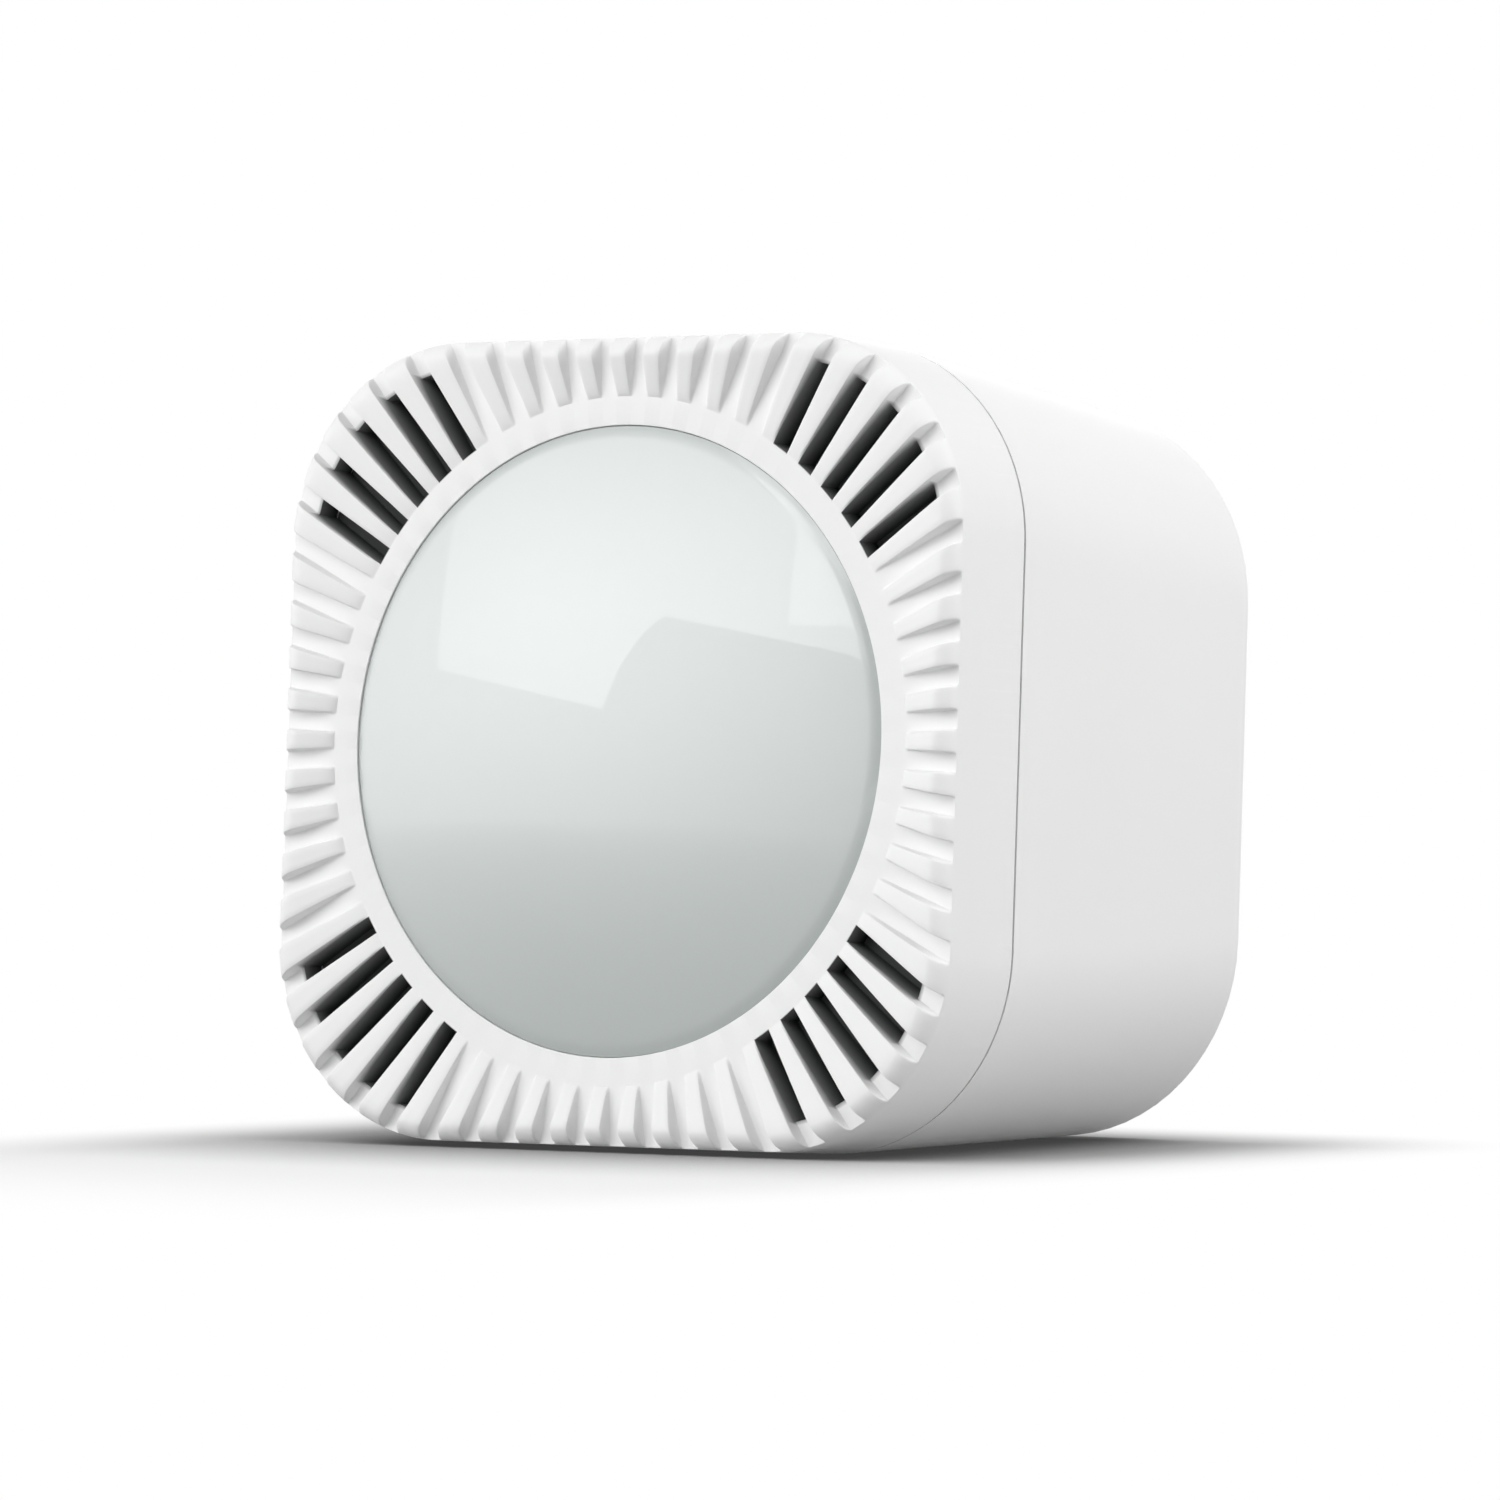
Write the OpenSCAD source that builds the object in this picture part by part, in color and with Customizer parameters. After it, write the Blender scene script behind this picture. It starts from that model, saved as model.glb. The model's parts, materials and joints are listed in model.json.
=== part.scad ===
// Battery motion sensor: a square housing with a ribbed front frame, a crowned lens,
// vents in the four corners of the frame and a twist-off wall plate at the back.
//
// Each piece is drawn with the wall at z = 0, the lens looking along +z and y up.
// stand() then turns it upright: the front looks along -Y, up is +Z, and the origin is
// the middle of the object's foot.

/* [Housing] */
// Width and height of the housing at the seam
body_w = 56; // [54:1:72]
// Radius of the long corners at the seam
corner_r = 14.1; // [12:0.1:16]
// Width and height of the back face
rear_w = 52.6; // [52:0.1:60]
// Radius of the long corners at the back face
rear_corner_r = 14.4; // [12.5:0.1:16]
// Depth of the rear shell, from the wall to the seam
rear_depth = 33.6; // [32:0.1:45]
// Depth of the front frame, from the seam to the rib tops
bezel_depth = 9.2; // [7.5:0.1:12]
// Thickness of the side walls
wall = 2; // [1.4:0.1:2.6]
// Thickness of the back wall and of the wall plate in it
back_t = 2.2; // [1.8:0.1:3]
// Width of the visible seam line
seam_gap = 0.15; // [0.1:0.05:0.3]
// Room round the frame's lip where it plugs into the rear shell
lip_clear = 0.3; // [0.2:0.05:0.5]
// Depth of that lip
lip_depth = 2.4; // [2:0.1:4]
// Thickness of that lip
lip_t = 1.2; // [0.8:0.1:1.6]

/* [Ribbed face] */
// Height of the ribs above the ring round the lens
rib_h = 1.25; // [0.8:0.05:1.8]
// Radius of the rolled edge round the face
edge_r = 1.6; // [1:0.1:2]
// Distance of the ribs' crest from the side of the housing
crest_inset = 1; // [0.6:0.1:1.4]
// Thickness of the face under the ring and the valleys
face_t = 2; // [1.5:0.1:2.6]
// Number of ribs all round
rib_count = 60; // [60:4:72]
// Width of the valleys and of the vent slots
slot_w = 1.4; // [1:0.02:1.7]
// Number of open vent slots in each corner
vents_per_corner = 5; // [3:2:7]
// Distance of the vent slots' outer ends from the side of the housing
vent_margin = 2.25; // [2.1:0.05:3]
// Width of the flat ring between the lens and the ribs
ring_w = 2; // [1.6:0.1:4]

/* [Lens] */
// Diameter of the opening that the lens fills
lens_d = 43.8; // [36:0.1:44]
// Gap round the lens
lens_gap = 0.1; // [0.05:0.01:0.2]
// Thickness of the lens
lens_t = 0.9; // [0.6:0.1:1.2]
// Rise of the lens above the ring
lens_rise = 2.2; // [1.4:0.1:3]
// Radius of the lens's rolled rim
lens_roll = 0.9; // [0.9:0.05:1.2]
// Width of the hidden flange round the lens
flange_w = 1.2; // [0.8:0.1:1.4]
// Thickness of that flange
flange_t = 0.8; // [0.6:0.1:1.2]

/* [Wall plate] */
// Diameter of the wall plate
plate_d = 41.6; // [40:0.1:42]
// Gap round the wall plate
plate_gap = 0.2; // [0.1:0.05:0.4]
// How far the bayonet lugs stick out
lug_out = 1.5; // [1:0.1:1.6]
// Thickness of the lugs
lug_t = 1.3; // [1:0.1:1.6]
// Angle that a lug spans
lug_angle = 22; // [16:1:24]
// Turn that releases the plate
twist = 26; // [26:1:32]
// Distance between the two wall screws
wall_screw_pitch = 28; // [24:0.5:30]
// Diameter of the wall screw holes
wall_screw_d = 4; // [3:0.1:4.5]

/* [Battery] */
// Diameter of the cell
battery_d = 17; // [16:0.1:20.4]
// Length of the cell with its cap
battery_l = 34.5; // [30:0.1:35]
// Free room round the cell
battery_clear = 0.3; // [0.2:0.05:0.4]
// Thickness of the battery bay's walls and floor
bay_wall = 1.2; // [0.8:0.1:1.6]
// Length of the spring contact
spring_l = 3.5; // [2.5:0.1:4]

/* [Electronics] */
// Thickness of the circuit board
board_t = 1.6; // [1:0.1:2]
// Room for solder joints between the battery bay and the board
solder_gap = 1.6; // [1.2:0.1:3]
// Diameter of the infrared detector's cap
detector_d = 8.3; // [7:0.1:9.2]
// Height of the infrared detector's cap
detector_h = 4; // [3:0.1:5]
// Width of the two tact switches
switch_w = 6; // [5:0.1:6.2]
// Height of their bodies
switch_h = 3.4; // [2.5:0.1:4]

/* [Button and pin] */
// Diameter of the pairing button
button_d = 4.4; // [3:0.1:4.4]
// Travel of the pairing button
button_travel = 0.5; // [0.3:0.1:0.8]
// How far the button lies below the back face
button_recess = 0.3; // [0:0.1:0.6]
// Diameter of the tamper pin
pin_d = 3.4; // [2.4:0.1:4]
// How far the tamper pin sticks out of the back, which is its travel
pin_travel = 0.8; // [0.5:0.1:1.2]
// Gap round the button and the pin in their holes
running_gap = 0.05; // [0.02:0.01:0.09]

/* [Hidden] */

$fn = 64;
hair = 0.01;            // thickness of the slabs that a tapered shape is stretched over
seat = 0.05;            // gap between pieces that are pressed or soldered together
past = 1;               // how far a cutter runs past the face it opens

// Heights, counted from the wall
z_seam = rear_depth;
z_front = z_seam + bezel_depth;
z_ring = z_front - rib_h;
z_face_in = z_ring - face_t;
z_apex = z_ring + lens_rise;
z_mid = (z_apex - pin_travel) / 2;

// The lens and the ring
lens_r = lens_d / 2;
ring_r = lens_r + ring_w;
rim_r = lens_r - lens_gap;
flange_r = lens_r + flange_w;
crown_r = (rim_r * rim_r + lens_rise * lens_rise) / (2 * lens_rise);
roll_x = rim_r - lens_roll;
roll_z = z_apex - crown_r + sqrt(pow(crown_r - lens_roll, 2) - pow(roll_x, 2));
z_flange = z_face_in - seat - flange_t;

// The wall plate and its well
plate_r = plate_d / 2;
lug_r = plate_r + lug_out;
lug_z = back_t + 0.1;
well_r = lug_r + 0.6;
well_wall = 1;
z_well = lug_z + lug_t + 0.4;
collar_w = 2;
LUGS = [90, 210, 330];

// The battery bay
bay_l = battery_l + spring_l + 1;
bay_w = battery_d + 2 * battery_clear;
z_cell = back_t + battery_clear + battery_d / 2;
z_bay = z_cell + battery_d / 2 + battery_clear;
z_board = z_bay + bay_wall + solder_gap;
z_parts = z_board + board_t;
leaf_t = 0.4;
leaf_w = 9;
cell_end = bay_l / 2 - seat - leaf_t - seat - 0.4;

// Where the shell's section lies at a given height
function half_at(z) = rear_w / 2 + (body_w - rear_w) / 2 * z / rear_depth;
function corner_at(z) = rear_corner_r + (corner_r - rear_corner_r) * z / rear_depth;
// Distance from the middle to a rounded corner, along the diagonal
function diagonal(half, r) = (half - r) * sqrt(2) + r;

// The button and the pin sit in two opposite corners of the back
collar_r = 2.6;
guide_r = collar_r + 0.9;
guide_gap = 0.1;
collar_t = 1;
z_collar = back_t + 0.1;
z_guide = z_collar + collar_t + 4.5;
key_r = diagonal(half_at(0) - wall, rear_corner_r - wall) - collar_r - guide_gap - 0.1;
key = key_r / sqrt(2);
stem_r = 1.1;
z_switch = z_board - seat - switch_h;
actuator_r = 1.7;
actuator_out = 1;

// The board and its screws
board_half = half_at(z_board) - wall - 0.5;
board_corner = corner_at(z_board) - wall - 0.5;
boss_r = 2.5;
side_boss = bay_l / 2 + bay_wall + 1.3;
SCREWS = [[-key, key], [key, -key], [-side_boss, 0], [side_boss, 0]];
screw_r = 0.9;
screw_l = 6;
screw_head_r = 1.9;
screw_head_h = 1.4;

// The shroud between the lens and the board
gasket_t = 0.8;
shroud_t = 1.2;
foot_r = 9.8;
z_foot = z_parts + gasket_t;
z_shroud = z_flange - seat;
shroud_flange_t = 1.2;
shroud_top_r = flange_r - 0.6;
z_shroud_top = z_shroud - shroud_flange_t;
// Outer radius of the shroud's cone at a height
function shroud_r(z) =
    foot_r + (shroud_top_r - foot_r) * (z - z_foot) / (z_shroud_top - z_foot);

// The detector
spacer_t = 1;
z_header = z_parts + seat + spacer_t + seat;
header_r = detector_d / 2 + 0.45;
header_t = 0.5;
can_t = 0.25;
LEADS = [30, 150, 270];
lead_r = 0.25;
lead_circle = 2.5;

module stand() {
    translate([0, z_mid, body_w / 2]) rotate([90, 0, 0]) children();
}

module at_z(z) {
    translate([0, 0, z]) children();
}

module rounded_square(half, r) {
    square([2 * half, 2 * (half - r)], center = true);
    square([2 * (half - r), 2 * half], center = true);
    for (x = [-1, 1], y = [-1, 1]) translate([x, y] * (half - r)) circle(r);
}

module slab(half, r, h) {
    linear_extrude(h) rounded_square(half, r);
}

module ring(r_out, r_in, h) {
    difference() {
        cylinder(r = r_out, h = h);
        at_z(-past) cylinder(r = r_in, h = h + 2 * past);
    }
}

// The part of a ring that spans an angle either side of a direction
module arc_block(r_out, r_in, h, middle, angle) {
    rotate(middle - angle / 2) rotate_extrude(angle = angle)
        translate([r_in, 0]) square([r_out - r_in, h]);
}

// Front frame

// Half of the section across the frame, with its rolled edge: x is the distance from
// the middle of the part that is revolved or extruded
module edge_section(half, h) {
    square([half, h - edge_r]);
    square([half - edge_r, h]);
    translate([half - edge_r, h - edge_r]) circle(edge_r);
}

module rolled_block(half, r, h) {
    straight = 2 * (half - r);
    for (x = [-1, 1], y = [-1, 1]) translate([x, y, 0] * (half - r))
        rotate_extrude() intersection() {
            edge_section(r, h);
            square([r, h]);
        }
    for (turn = [0, 90]) rotate(turn) translate([0, straight / 2, 0]) rotate([90, 0, 0])
        linear_extrude(straight) {
            edge_section(half, h);
            mirror([1, 0]) edge_section(half, h);
        }
}

// The hollow that the rib tops lie on: a circle at the ring, the housing's own outline
// at the crest
module rib_dish() {
    rise = rib_h / 20;
    crest_half = body_w / 2 - crest_inset;
    hull() {
        at_z(z_ring) cylinder(r = ring_r, h = hair);
        at_z(z_front) slab(crest_half, corner_r - crest_inset, rise);
    }
}

module valley(angle, reach) {
    rotate(angle) translate([ring_r, -slot_w / 2]) square([reach - ring_r, slot_w]);
}

function valley_angle(i) = (i + 0.5) * 360 / rib_count;
// How far a direction lies from the nearest diagonal
function off_diagonal(a) = abs(a % 90 - 45);
function is_open(a) = off_diagonal(a) < vents_per_corner / 2 * 360 / rib_count;

module valleys() {
    for (i = [0 : rib_count - 1]) valley(valley_angle(i), body_w);
}

module vents() {
    intersection() {
        for (i = [0 : rib_count - 1])
            if (is_open(valley_angle(i))) valley(valley_angle(i), body_w);
        rounded_square(body_w / 2 - vent_margin, corner_r - vent_margin);
    }
}

// How much narrower the rear shell is at the lip's end than at the seam
lip_taper = half_at(z_seam) - half_at(z_seam - lip_depth);
lip_half = body_w / 2 - wall - lip_clear - lip_taper;
lip_corner = corner_r - wall - lip_clear - lip_taper;
snap_w = 8;
snap_out = lip_clear + lip_taper + 0.25;
snap_h = 1;
z_snap = z_seam - lip_depth + 0.4;

module snap_row(extra) {
    reach = lip_half + snap_out + extra;
    for (turn = [0, 90]) rotate(turn) at_z(z_snap - extra)
        translate([-reach, -snap_w / 2 - extra, 0])
            cube([2 * reach, snap_w + 2 * extra, snap_h + 2 * extra]);
}

module front_bezel() color([0.95, 0.95, 0.95]) stand() {
    difference() {
        at_z(z_seam) rolled_block(body_w / 2, corner_r, bezel_depth);
        at_z(z_seam - past)
            slab(body_w / 2 - wall, corner_r - wall, z_face_in - z_seam + past);
        rib_dish();
        at_z(z_ring) linear_extrude(rib_h + past) valleys();
        at_z(z_face_in - past) linear_extrude(face_t + 2 * past) vents();
        at_z(z_face_in - past) cylinder(r = lens_r, h = face_t + 2 * past);
    }
    // Lip that plugs into the rear shell, with a snap on each side
    difference() {
        union() {
            at_z(z_seam - lip_depth) slab(lip_half, lip_corner, lip_depth + lip_t);
            at_z(z_seam) slab(body_w / 2 - wall, corner_r - wall, lip_t);
            snap_row(0);
        }
        at_z(z_seam - lip_depth - past)
            slab(lip_half - lip_t, lip_corner - lip_t, lip_depth + lip_t + 2 * past);
    }
    // Rib that centres the lens's flange
    at_z(z_flange - shroud_flange_t) ring(ring_r - seat, flange_r + lens_gap,
        z_face_in - z_flange + shroud_flange_t);
}

// Lens and shroud

module crown_profile(inset) {
    intersection() {
        translate([0, z_apex - crown_r]) circle(crown_r - inset, $fn = 720);
        translate([0, z_flange]) square([roll_x + 0.2 * lens_roll, z_apex - z_flange]);
    }
}

module fresnel_lens() color([0.87, 0.89, 0.88]) stand() rotate_extrude($fn = 128)
    difference() {
        union() {
            crown_profile(0);
            translate([roll_x, roll_z]) circle(lens_roll);
            translate([0, z_flange]) square([rim_r, roll_z - z_flange]);
            translate([0, z_flange]) square([flange_r, flange_t]);
        }
        translate([0, -past]) crown_profile(lens_t - past);
        translate([0, z_flange - past]) square([rim_r - lens_t, roll_z - z_flange + past]);
        translate([-body_w, 0]) square([body_w, body_w]);
    }

module optics_shroud() color([0.2, 0.21, 0.22]) stand() rotate_extrude() {
    polygon([[foot_r - shroud_t, z_foot], [foot_r, z_foot], [shroud_top_r, z_shroud_top],
        [flange_r, z_shroud_top], [flange_r, z_shroud],
        [shroud_top_r - shroud_t, z_shroud]]);
}

module shroud_gasket() color([0.15, 0.15, 0.15]) stand()
    at_z(z_parts + seat) ring(foot_r + 0.2, foot_r - shroud_t - 0.2, gasket_t - 2 * seat);

module vent_screens() color([0.24, 0.26, 0.25]) stand() {
    screen_t = 0.5;
    span = (vents_per_corner + 0.6) * 360 / rib_count;
    half = body_w / 2 - wall - 0.1;
    at_z(z_face_in - seat - screen_t) for (corner = [45 : 90 : 315]) intersection() {
        arc_block(body_w, ring_r + 0.1, screen_t, corner, span);
        slab(half, corner_r - wall - 0.1, screen_t);
    }
}

// Rear shell

module tapered(inset, z_low, z_high) {
    hull() {
        at_z(z_low) slab(half_at(z_low) - inset, corner_at(z_low) - inset, hair);
        at_z(z_high - hair) slab(half_at(z_high) - inset, corner_at(z_high) - inset, hair);
    }
}

module bay_block(grow, z_low, z_high) {
    translate([-bay_l / 2 - grow, -bay_w / 2 - grow, z_low])
        cube([bay_l + 2 * grow, bay_w + 2 * grow, z_high - z_low]);
}

module tail_slits() {
    for (side = [-1, 1]) translate([side * (bay_l / 2 - seat - leaf_t / 2), 0, z_bay])
        cube([leaf_t + 4 * seat, leaf_w / 3 + 4 * seat, 4 * bay_wall], center = true);
}

module rear_shell() color([0.95, 0.95, 0.95]) stand() difference() {
    union() {
        difference() {
            tapered(0, 0, z_seam - seam_gap);
            tapered(wall, back_t, z_seam + past);
        }
        at_z(back_t - hair) cylinder(r = well_r + well_wall, h = z_well + bay_wall - back_t);
        bay_block(bay_wall, z_well, z_bay + bay_wall);
        for (s = [-1, 1]) translate([s * key, s * key, back_t - hair])
            cylinder(r = guide_r, h = z_guide - back_t);
        for (p = SCREWS) translate([p.x, p.y, back_t - hair])
            cylinder(r = boss_r, h = z_board - seat - back_t);
    }
    // Opening and well for the wall plate, with a notch for each lug
    at_z(-past) cylinder(r = plate_r + plate_gap, h = back_t + 2 * past);
    difference() {
        at_z(back_t) cylinder(r = well_r, h = z_well - back_t);
        for (a = LUGS) at_z(back_t - past) arc_block(well_r + past, plate_r + 2 * plate_gap,
            z_well - back_t + 2 * past, a + lug_angle / 2 + 3, 4);
    }
    for (a = LUGS) at_z(-past) arc_block(lug_r + plate_gap, plate_r - past,
        back_t + 2 * past, a - twist, lug_angle + 2);
    // Battery bay, open towards the wall
    bay_block(0, back_t, z_bay);
    tail_slits();
    // Holes and guides of the tamper pin and the button
    translate([-key, -key, -past]) cylinder(d = pin_d + 2 * running_gap, h = back_t + 2 * past);
    translate([key, key, -past]) cylinder(d = button_d + 2 * running_gap, h = back_t + 2 * past);
    for (s = [-1, 1]) translate([s * key, s * key, back_t])
        cylinder(r = collar_r + guide_gap, h = z_board);
    for (p = SCREWS) translate([p.x, p.y, z_board - screw_l])
        cylinder(r = screw_r + seat, h = screw_l);
    snap_row(0.15);
}

// Wall plate, which is also the battery cover

module back_plate() color([0.93, 0.93, 0.93]) stand() difference() {
    union() {
        cylinder(r = plate_r, h = back_t);
        at_z(back_t - hair) ring(plate_r, plate_r - collar_w, lug_z + lug_t - back_t + hair);
        for (a = LUGS) at_z(lug_z) arc_block(lug_r, plate_r - collar_w / 2, lug_t, a, lug_angle);
    }
    for (s = [-1, 1]) translate([0, s * wall_screw_pitch / 2, -past])
        cylinder(d = wall_screw_d, h = back_t + 2 * past);
    // Slot for a coin
    translate([-8, -1, -past]) cube([16, 2, past + 1.1]);
}

// Circuit board and what is on it

module main_board() color([0.09, 0.32, 0.2]) stand() difference() {
    at_z(z_board) slab(board_half, board_corner, board_t);
    for (p = SCREWS) translate([p.x, p.y, z_board - past])
        cylinder(r = screw_r + 0.25, h = board_t + 2 * past);
    for (a = LEADS) rotate(a) translate([lead_circle, 0, z_board - past])
        cylinder(r = lead_r + seat, h = board_t + 2 * past);
}

module board_screws() color([0.7, 0.7, 0.72]) stand() for (p = SCREWS)
    translate([p.x, p.y, z_parts + seat]) difference() {
        union() {
            cylinder(r = screw_head_r, h = screw_head_h);
            at_z(-screw_l + 0.5) cylinder(r = screw_r, h = screw_l);
        }
        for (turn = [0, 90]) rotate(turn) translate([-1.1, -0.25, screw_head_h - 0.7])
            cube([2.2, 0.5, past]);
    }

module pir_spacer() color([0.85, 0.85, 0.8]) stand() difference() {
    at_z(z_parts + seat) cylinder(r = header_r, h = spacer_t);
    for (a = LEADS) rotate(a) translate([lead_circle, 0, z_parts])
        cylinder(r = lead_r + seat, h = 2 * spacer_t);
}

module pir_base() color([0.75, 0.75, 0.77]) stand() {
    at_z(z_header) cylinder(r = header_r, h = header_t);
    for (a = LEADS) rotate(a) translate([lead_circle, 0, z_board - 0.8])
        cylinder(r = lead_r, h = z_header - z_board + 1);
}

window_w = [4.4, 3.2];

module pir_can() color([0.72, 0.72, 0.74]) stand() at_z(z_header + header_t + seat)
    difference() {
        cylinder(d = detector_d, h = detector_h - header_t);
        at_z(-past) cylinder(d = detector_d - 2 * can_t, h = detector_h - header_t - can_t + past);
        translate([-window_w.x / 2, -window_w.y / 2, 0])
            cube([window_w.x, window_w.y, detector_h]);
    }

module pir_window() color([0.1, 0.1, 0.11]) stand() {
    window_t = 0.4;
    z = z_header + detector_h - can_t - window_t;
    translate([-window_w.x / 2 - 0.4, -window_w.y / 2 - 0.4, z])
        cube([window_w.x + 0.8, window_w.y + 0.8, window_t]);
}

module chip(x, y, size, h) {
    translate([x - size.x / 2, y - size.y / 2, z_parts + seat]) cube([size.x, size.y, h]);
}

module status_led() color([0.95, 0.9, 0.75]) stand() chip(6.6, 0, [1.6, 1.2], 0.7);

module light_sensor() color([0.15, 0.15, 0.17]) stand() chip(-6.6, 0, [2, 2], 0.8);

module controller_chip() color([0.08, 0.08, 0.09]) stand() chip(15.5, 11.5, [6, 6], 0.9);

capacitor_d = 6.3;
capacitor_h = 5.4;
capacitor_angle = 200;
capacitor_place = shroud_r(z_parts + seat + capacitor_h) + 1.2 + capacitor_d / 2;

module capacitor() color([0.2, 0.22, 0.3]) stand() rotate(capacitor_angle)
    translate([capacitor_place, 0, z_parts + seat]) rotate(-capacitor_angle) {
        cylinder(d = capacitor_d, h = capacitor_h);
        at_z(0.4) translate([-3.3, -3.3, -0.4]) cube([6.6, 6.6, 0.8]);
    }

climate_r = key_r - 1.5;
climate_w = 6;
climate_t = 1;
z_climate = z_face_in - 2;

// Draws in a frame whose x runs outwards to the lower left corner
module climate_side() {
    rotate(225) translate([climate_r, 0, 0]) children();
}

module climate_board() color([0.09, 0.32, 0.2]) stand() climate_side()
    translate([-climate_t / 2, -climate_w / 2, z_parts + seat])
        cube([climate_t, climate_w, z_climate - z_parts - seat]);

module climate_sensor() color([0.12, 0.12, 0.13]) stand() climate_side()
    translate([climate_t / 2 + seat, -1.25, z_climate - 3.5]) cube([0.9, 2.5, 2.5]);

module radio_module() color([0.75, 0.76, 0.77]) stand() {
    module_w = [18, 10];
    y = board_half - 1 - module_w.y / 2;
    chip(0, y, module_w, 0.8);
    at_z(0.8 - hair) chip(0, y, module_w - [2, 1.6], 1.6);
}

module antenna() color([0.8, 0.78, 0.7]) stand() {
    strip = [18, 3];
    rise = 4.5;
    y = -board_half + 1 + strip.y / 2;
    at_z(rise) chip(0, y, strip, leaf_t);
    for (x = [-strip.x / 2 + leaf_t / 2, -strip.x / 2 + 4])
        chip(x, y, [leaf_t, strip.y], rise + leaf_t / 2);
}

// Battery and its contacts

module along_bay() {
    at_z(z_cell) rotate([0, 90, 0]) children();
}

cap_r = 3.2;
cap_l = 1.4;

module battery() color([0.85, 0.6, 0.15]) stand() along_bay() {
    shoulder = 0.6;
    at_z(cell_end - battery_l) rotate_extrude() polygon([[0, 0],
        [battery_d / 2 - shoulder, 0], [battery_d / 2, shoulder],
        [battery_d / 2, battery_l - cap_l - shoulder],
        [battery_d / 2 - shoulder, battery_l - cap_l], [cap_r, battery_l - cap_l],
        [cap_r, battery_l], [0, battery_l]]);
}

// A leaf on the bay's end wall, with a tail through the floor to the board
module leaf(side) {
    x = side * (bay_l / 2 - seat - leaf_t / 2);
    z_low = z_cell - leaf_w / 2;
    z_high = z_bay - seat;
    translate([x - leaf_t / 2, -leaf_w / 2, z_low]) cube([leaf_t, leaf_w, z_high - z_low]);
    translate([x - leaf_t / 2, -leaf_w / 6, z_high - hair])
        cube([leaf_t, leaf_w / 3, z_board - seat - z_high + hair]);
}

module contact_positive() color([0.82, 0.8, 0.72]) stand() {
    leaf(1);
    along_bay() at_z(cell_end + seat) cylinder(r = 1.5, h = bay_l / 2 - cell_end - 2 * seat);
}

// A round wire wound about z, from radius r_low at the bottom to r_high at the top
module coil(r_low, r_high, length, turns, wire_r) {
    per_turn = 14;
    sides = 6;
    last = turns * per_turn;
    function at(i, k) = let (
        t = i / last, a = 360 * i / per_turn, b = 360 * k / sides,
        r = r_low + (r_high - r_low) * t + wire_r * cos(b),
        z = wire_r + (length - 2 * wire_r) * t + wire_r * sin(b)
    ) [r * cos(a), r * sin(a), z];
    points = [for (i = [0 : last], k = [0 : sides - 1]) at(i, k)];
    tube = [for (i = [0 : last - 1], k = [0 : sides - 1]) let (
        next = (k + 1) % sides
    ) [i * sides + k, i * sides + next, (i + 1) * sides + next, (i + 1) * sides + k]];
    ends = [[for (k = [sides - 1 : -1 : 0]) k],
        [for (k = [0 : sides - 1]) last * sides + k]];
    polyhedron(points, concat(tube, ends));
}

module contact_negative() color([0.78, 0.78, 0.8]) stand() {
    leaf(-1);
    foot = -bay_l / 2 + seat + leaf_t;
    wire_r = 0.35;
    along_bay() at_z(foot - wire_r)
        coil(3.9, 2, cell_end - battery_l - foot - seat + wire_r, 3, wire_r);
}

// Button, tamper pin and their switches

// Draws at the button's corner (1) or the pin's corner (-1)
module at_key(side) {
    translate([side * key, side * key, 0]) children();
}

module plunger(d, z_tip) {
    z_stem = z_switch - actuator_out - seat;
    at_z(z_tip) cylinder(d = d, h = z_collar - z_tip + hair);
    at_z(z_collar) cylinder(r = collar_r, h = collar_t);
    at_z(z_collar) cylinder(r = stem_r, h = z_stem - z_collar);
}

module switch_body() {
    difference() {
        at_z(z_switch) rotate(45) translate([-switch_w / 2, -switch_w / 2, 0])
            cube([switch_w, switch_w, switch_h]);
        at_z(z_switch - past) cylinder(r = actuator_r + running_gap, h = past + 2);
    }
}

module switch_stem() {
    at_z(z_switch - actuator_out) cylinder(r = actuator_r, h = actuator_out + 0.8);
}

module pair_button() color([0.8, 0.8, 0.8]) stand() at_key(1) plunger(button_d, button_recess);

module pair_switch() color([0.12, 0.12, 0.13]) stand() at_key(1) switch_body();

module pair_switch_stem() color([0.75, 0.75, 0.7]) stand() at_key(1) switch_stem();

module tamper_plunger() color([0.8, 0.8, 0.8]) stand() at_key(-1) plunger(pin_d, -pin_travel);

module tamper_switch() color([0.12, 0.12, 0.13]) stand() at_key(-1) switch_body();

module tamper_switch_stem() color([0.75, 0.75, 0.7]) stand() at_key(-1) switch_stem();

module tamper_spring() color([0.75, 0.76, 0.78]) stand() at_key(-1) {
    z_low = z_collar + collar_t + seat;
    at_z(z_low) coil(2.1, 2.1, z_switch - seat - z_low, 8, 0.22);
}

front_bezel();
fresnel_lens();
optics_shroud();
shroud_gasket();
vent_screens();
rear_shell();
back_plate();
main_board();
board_screws();
pir_base();
pir_can();
pir_window();
pir_spacer();
status_led();
light_sensor();
climate_board();
climate_sensor();
radio_module();
antenna();
controller_chip();
capacitor();
battery();
contact_positive();
contact_negative();
pair_button();
pair_switch();
pair_switch_stem();
tamper_plunger();
tamper_spring();
tamper_switch();
tamper_switch_stem();
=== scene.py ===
# %% [markdown]
# # A battery motion sensor
#
# The sensor is a small square box with long round corners. Its front frame has a hollowed
# face with sixty ribs round a milky, slightly domed lens, and the valleys in the four corners
# are open vents. A plate at the back twists off to free it from the wall.
#
# The construction comes packed from the CAD model. This lesson gives it its looks: smooth
# moulded shells worked out as formulas, materials made of nodes, and a plain white studio.

import json
import math

import bmesh
import bpy
import numpy as np
from mathutils import Matrix, Vector

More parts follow.
